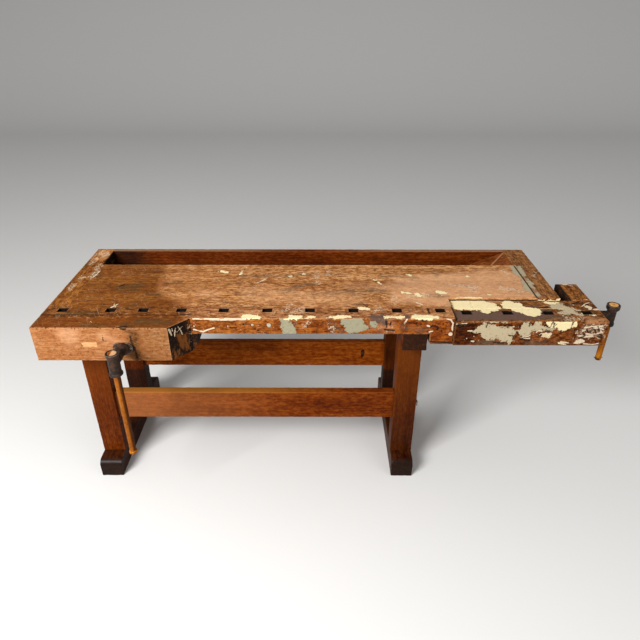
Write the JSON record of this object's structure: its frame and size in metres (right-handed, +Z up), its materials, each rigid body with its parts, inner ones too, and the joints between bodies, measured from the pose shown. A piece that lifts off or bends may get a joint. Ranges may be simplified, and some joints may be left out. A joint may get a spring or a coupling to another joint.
{
  "type": "workbench",
  "caption": "Cabinetmaker's workbench: laminated top with dog holes and a tool tray, wooden front vise, L-shaped tail vise, sledge-foot trestles and bolted stretchers.",
  "frame": {"origin": "on the floor, under the middle of the bench's box", "axes": "+X along the bench from the front vise to the tail vise, +Y from the worker's side to the tray, +Z up"},
  "size_m": [2.2626, 0.872, 0.82],
  "materials": {
    "top_wood": "worn varnish with scratches, stains and remains of old paint",
    "vise_wood": "worn wood under flaking cream, grey-green and violet-grey paint",
    "jaw_wood": "bare worn face with a waxed sheen",
    "patch_wood": "bare let-in wood",
    "tray_wood": "old dark varnish",
    "frame_wood": "glossy red-brown varnish",
    "foot_wood": "scuffed dark wood",
    "inner_wood": "bare planed wood",
    "bar_wood": "hand-polished wood",
    "cast_iron": "dark worn cast iron",
    "steel": "dull aged steel"
  },
  "bodies": {
    "bench": {"top_slab": "top_wood", "dog_strip": "top_wood", "left_end_cap": "top_wood", "right_end_cap": "top_wood", "tray_floor": "tray_wood", "tray_back_board": "tray_wood", "tray_ramp": "tray_wood", "left_front_leg": "frame_wood", "left_rear_leg": "frame_wood", "right_front_leg": "frame_wood", "right_rear_leg": "frame_wood", "left_bearer": "frame_wood", "right_bearer": "frame_wood", "front_stretcher": "frame_wood", "rear_stretcher": "frame_wood", "left_foot": "foot_wood", "right_foot": "foot_wood", "tail_guide_bracket": "inner_wood", "tail_runner": "inner_wood", "tail_nut_block": "inner_wood", "top_pegs": "inner_wood", "front_nut": "cast_iron", "tail_nut": "cast_iron", "end_cap_bolts": "steel", "end_cap_nuts": "steel", "tray_screws": "steel", "stretcher_bolts": "steel", "stretcher_washers": "steel", "stretcher_nuts": "steel", "nut_block_bolts": "steel", "runner_screws": "steel"},
    "front_jaw": {"front_jaw": "jaw_wood", "jaw_patch": "patch_wood", "front_garter_key": "cast_iron", "front_collar_plate": "cast_iron", "front_collar_screws": "steel", "front_guide_rods": "inner_wood"},
    "front_screw": {"front_screw": "steel", "front_hub": "cast_iron", "front_hub_pin": "steel"},
    "front_bar": {"front_bar": "bar_wood", "front_bar_knob": "bar_wood"},
    "tail_vise": {"tail_dog_block": "vise_wood", "tail_jaw_block": "vise_wood", "tail_end_block": "vise_wood", "tail_arm": "vise_wood", "tail_cover": "vise_wood", "tail_guide_bar": "inner_wood", "tail_plug": "patch_wood", "tail_garter_key": "cast_iron", "tail_collar_plate": "cast_iron", "tail_collar_screws": "steel"},
    "tail_screw": {"tail_screw": "steel", "tail_hub": "cast_iron", "tail_hub_pin": "steel"},
    "tail_bar": {"tail_bar": "bar_wood", "tail_bar_pin": "steel"}
  },
  "joints": [
    {"name": "front_jaw_slide", "type": "slide", "parent": "bench", "child": "front_jaw", "axis": [0, -1, 0], "range_m": [0, 0.144]},
    {"name": "front_screw_turn", "type": "hinge", "parent": "front_jaw", "child": "front_screw", "pos_m": [-0.80025, -0.411, 0.736], "axis": [0, -1, 0], "range_deg": [0, 8640]},
    {"name": "front_bar_slide", "type": "slide", "parent": "front_screw", "child": "front_bar", "axis": [0, 0, 1], "range_m": [0, 0.361]},
    {"name": "tail_vise_slide", "type": "slide", "parent": "bench", "child": "tail_vise", "axis": [1, 0, 0], "range_m": [0, 0.15]},
    {"name": "tail_screw_turn", "type": "hinge", "parent": "tail_vise", "child": "tail_screw", "pos_m": [1.10525, -0.096, 0.762], "axis": [1, 0, 0], "range_deg": [0, 9000]},
    {"name": "tail_bar_slide", "type": "slide", "parent": "tail_screw", "child": "tail_bar", "axis": [0, 0, 1], "range_m": [0, 0.156]}
  ],
  "couplings": [
    {"joint": "front_jaw_slide", "follows": "front_screw_turn", "m_per_rad": 0.0009549},
    {"joint": "tail_vise_slide", "follows": "tail_screw_turn", "m_per_rad": 0.0009549}
  ]
}
